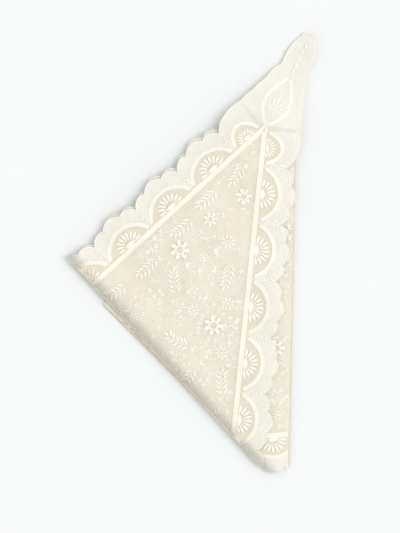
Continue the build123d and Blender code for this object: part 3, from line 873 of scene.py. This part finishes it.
for leaf in leaves:
    ends = leafLines(leaf, veil["foldSetback"])
    lacedEnds = leafLines(leaf, work["setback"])
    netLines = [(e["start"], -e["out"]) for e in edges.values()]
    netCuts = netLines + ends
    step = netting["step"]
    across, up = np.arange(0, far.real + step, step), np.arange(0, back.imag + step, step)
    netFlat = across[None, :] + 1j * up[:, None]
    net = addPiece(f"{leaf}_tulle", leaf, [grid(netFlat, netFlat.real, netFlat.imag)], netCuts, tulle,
                   closed=False, nodes=[f"{leaf}_net"])
    for kind, shapes in flowers.items():
        addPiece(f"{leaf}_{kind}_satin", leaf, shapes, lacedEnds, satin, nodes=[f"{leaf}_{kind}"])
    arches, fans, eyelets, cords = [], [], [], []
    for label, edge in edges.items():
        mitres = mitreLines(edge)
        cuts = mitres + ends
        along = steps(edge, 40)
        rim = rimDepth(edge, along)
        share = np.linspace(0, 1, 9)
        flat = at(edge, along[None, :], share[:, None] * rim[None, :])
        repeatScale = edging["repeat"] / edge["pitch"]
        past = (along < 0) | (along > edge["length"])
        u = (along - edging["firstValley"]) * repeatScale
        v = share[:, None] * rim[None, :] + 0.1 * past[None, :]
        for fromCorner in (along, edge["length"] - along)[:1 if edge["end"] == back else 2]:
            beside = (fromCorner >= 0) & (fromCorner < edging["firstValley"])
            local = np.clip((fromCorner - smallArch["middle"]) / smallArch["share"], -0.49 * edging["repeat"],
                            0.49 * edging["repeat"])
            u = np.where(beside, local - edging["repeat"] / 2, u)
            v = np.where(beside[None, :], edging["archFoot"] + (v - edging["archFoot"]) / smallArch["rise"], v)
        u = np.broadcast_to(u, flat.shape)
        obj = addPiece(f"{leaf}_{label}_ground", leaf, [grid(flat, u, v)], cuts, lace,
                       closed=False, nodes=[f"{leaf}_{label}_edging"])
        if obj is None:
            continue
        declareSheet(flat, cuts)
        laced = mitres + lacedEnds
        line = at(edge, np.arange(-8 * mm, edge["length"] + 10 * mm, 4 * mm), 0)
        seamTape = ribbons(line, work["tapeWidth"], work["tapeHeight"], bandSection)
        addPiece(f"{leaf}_{label}_heading", leaf, [seamTape], laced, tape,
                 nodes=[f"{leaf}_{label}_tape"])
        outer = ribbons(at(edge, along, rim - work["rimCord"] / 2), work["rimCord"], work["rimHeight"],
                        cordSection)
        inner = ribbons(at(edge, along, rim - work["innerCordInset"]), work["innerCord"], work["innerHeight"],
                        cordSection)
        cords.append((label, [outer, inner], laced))
        arches.append(([ribbons(archPaths(edge), edging["archBand"], work["bandHeight"], bandSection)], laced))
        fans.append((fanShapes(edge), laced))
        spots = np.append(valleysOf(edge), valleysOf(edge)[-1] + edge["pitch"])
        spots = np.concatenate([at(edge, spots, depth) for depth in work["eyeletDepths"]])
        threads = rings(spots, work["eyeletRadius"], work["eyeletThread"], work["eyeletHeight"], 12)
        eyelets.append(([threads], laced))
    declareSheet(netFlat, netCuts)
    worked = (("arches", arches, ladder), ("fans", fans, satin), ("eyelets", eyelets, gimp))
    for kind, groups, material in worked:
        for number, (shapes, lines) in enumerate(groups):
            addPiece(f"{leaf}_{kind}_{number}", leaf, shapes, lines, material,
                     nodes=[f"{leaf}_{kind}"])
    for label, shapes, lines in cords:
        addPiece(f"{leaf}_{label}_rim", leaf, shapes, lines, gimp,
                 nodes=[f"{leaf}_scallop_cords"])
    addPiece(f"{leaf}_corner_bands", leaf, cornerBands, lacedEnds, gimp)
    addPiece(f"{leaf}_corner_palm", leaf, cornerPetals, lacedEnds, satin)
    print(leaf, "laid")

# The cloth's turned edge along each fold
turns = {
    "under_fold_turn": {"fold": "under_corner_fold", "lower": "under_corner", "upper": "under_half"},
    "half_fold_turn": {"fold": "half_fold", "lower": "under_half", "upper": "back_half"},
    "front_fold_turn": {"fold": "front_corner_fold", "lower": "back_half", "upper": "front_corner"},
}


def insideVeil(flat):
    inside = np.ones(flat.shape, bool)
    for edge in edges.values():
        place = (flat - edge["start"]) * np.conj(edge["way"])
        depth = ((flat - edge["start"]) * np.conj(edge["out"])).real
        inside &= depth < rimDepth(edge, place.real)
    return inside


for node, turn in turns.items():
    # a half round from the lower leaf's edge to the upper leaf's, carried along the fold
    point, way = folds[turn["fold"]]
    run = np.arange(-150 * mm, 700 * mm, 2 * mm)  # longer than any fold, then kept to the veil
    run = run[insideVeil(point + way * run)]
    side = dict(leaves[turn["upper"]]["ends"])[turn["fold"]]
    edgeLine = point + way * run + side * 1j * way * veil["foldSetback"]
    upper = laid(turn["upper"], edgeLine, 0)
    otherSide = point + way * run - side * 1j * way * veil["foldSetback"]
    lower = laid(turn["lower"], otherSide, 0)
    placedPoint, placedWay = placedFolds[turn["fold"]]
    inner = laid(turn["upper"], point + way * 0.1 + side * 1j * way * 0.05, 0)
    outward = 1j * placedWay
    if reach(complex(inner[0], inner[1]), (placedPoint, outward)) > 0:
        outward = -outward
    sweep = np.linspace(0, np.pi, 9)[:, None]
    rise = (1 - np.cos(sweep)) / 2
    bulge = 0.55 * (upper[2] - lower[2]) * np.sin(sweep)
    x = lower[0] + (upper[0] - lower[0]) * rise + bulge * outward.real
    y = lower[1] + (upper[1] - lower[1]) * rise + bulge * outward.imag
    z = lower[2] + (upper[2] - lower[2]) * rise
    shape = grid(x + 1j * y, np.broadcast_to(run, x.shape), np.broadcast_to(sweep * 1.7 * mm, x.shape))
    mesh = bpy.data.meshes.new(node + "_cloth")
    mesh.from_pydata(np.column_stack((x.ravel(), y.ravel(), z.ravel())).tolist(), [], shape[4][0].tolist())
    corners = shape[4][0].ravel()
    mesh.uv_layers.new(name="UVMap").data.foreach_set(
        "uv", np.column_stack((shape[2][0], shape[3][0]))[corners].ravel())
    mesh.polygons.foreach_set("use_smooth", np.ones(len(mesh.polygons), bool))
    # painted shade: the turned edge takes the darker tulle
    mesh.materials.append(shadedTurnTulle)
    obj = bpy.data.objects.new(node + "_cloth", mesh)
    bpy.context.collection.objects.link(obj)
    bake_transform(obj)
    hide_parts(node)
    waiting.discard(node)
    print(node, "made, from", round(lower[2].max() / mm, 2), "to", round(upper[2].min() / mm, 2), "mm")

# Floor, light and camera
stage = {
    "floor": "EBECEB",
    "floorShade": "EAEBEA",
    "floorMottle": 300 * mm,
    "floorGap": 0.3 * mm,       # under the packet, so that the two never share a plane
    "viewFrom": (-42.6 * mm, 219.8 * mm),  # the middle of the view, from the front fold's hinge
    "cameraHeight": 2.2,
    "viewHeight": 0.693,        # metres of floor from the bottom to the top of the view
    "sky": "F6F8F8",
    "skyStrength": 0.93,
    "lampStrength": 1.14,
    "lampFrom": (1.0, 0.12, 1.3),
    "lampSpread": 40,           # degrees, so shadows are soft
}
bpy.ops.mesh.primitive_plane_add(size=6, location=(0, 0, -stage["floorGap"]))
floor = bpy.context.object
floor.name = "paleFloor"
paper, paperShader = newMaterial("paperMattWhite")
# matt coated paper, faintly uneven
object3d = addNode(paper, "TexCoord").node.outputs["Object"]
paperColour = clothColour(paper, object3d, stage["floor"], stage["floorShade"], stage["floorMottle"], False)
link(paper, paperColour, paperShader, "Base Color")
paperShader.inputs["Roughness"].default_value = 0.95
paperShader.inputs["Specular IOR Level"].default_value = 0.0
floor.data.materials.append(paper)

lampData = bpy.data.lights.new("softKey", "SUN")
lampData.energy = stage["lampStrength"]
lampData.angle = math.radians(stage["lampSpread"])
lamp = bpy.data.objects.new("softKey", lampData)
lamp.rotation_euler = Vector(stage["lampFrom"]).to_track_quat("Z", "Y").to_euler()
bpy.context.collection.objects.link(lamp)

world = bpy.data.worlds.new("studio")
world.use_nodes = True
world.node_tree.nodes["Background"].inputs[0].default_value = linear(stage["sky"])
world.node_tree.nodes["Background"].inputs[1].default_value = stage["skyStrength"]
bpy.context.scene.world = world

cameraData = bpy.data.cameras.new("camera")
cameraData.sensor_width = 36
cameraData.lens = cameraData.sensor_width * stage["cameraHeight"] / stage["viewHeight"]
camera = bpy.data.objects.new("camera", cameraData)
hinge = placedFolds["front_corner_fold"][0]
camera.location = (hinge.real + stage["viewFrom"][0], hinge.imag + stage["viewFrom"][1], stage["cameraHeight"])
bpy.context.collection.objects.link(camera)
bpy.context.scene.camera = camera
bpy.context.scene.view_settings.view_transform = "Standard"
bpy.context.scene.cycles.transparent_max_bounces = 40
print("stage set")

print("CAD parts with no piece:", sorted(waiting))
print("triangles", sum(len(p.vertices) - 2 for o in made.values() for p in o.data.polygons))
